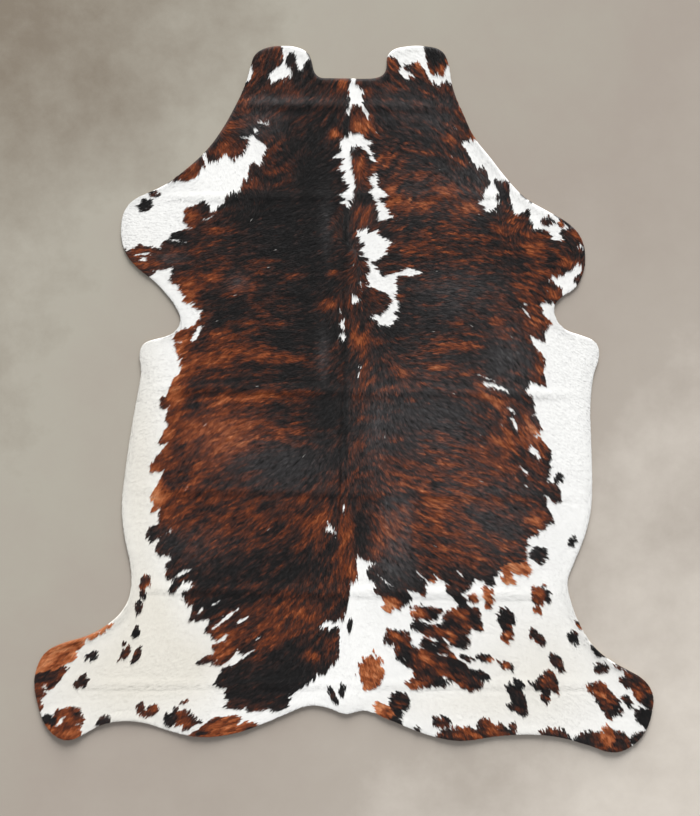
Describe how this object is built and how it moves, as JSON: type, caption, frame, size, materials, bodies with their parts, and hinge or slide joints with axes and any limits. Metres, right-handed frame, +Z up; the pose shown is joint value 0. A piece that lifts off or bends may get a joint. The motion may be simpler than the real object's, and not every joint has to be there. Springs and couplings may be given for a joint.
{
  "type": "cowhide rug",
  "caption": "Whole cowhide laid flat as a floor rug, brindle and white coat up, with its neck, ear, foreleg, flank, hind-leg and tail outline.",
  "frame": {"origin": "on the ground, below the middle of the box round the hide", "axes": "+X across the hide to the right seen from above with the neck away, +Y from tail to neck, +Z up out of the coat"},
  "size_m": [1.8544, 2.1171, 0.012],
  "materials": {
    "hide": "hair-on hide, brindle black and red-brown with white patches"
  },
  "bodies": {
    "root": {"hide": "hide"}
  },
  "joints": []
}
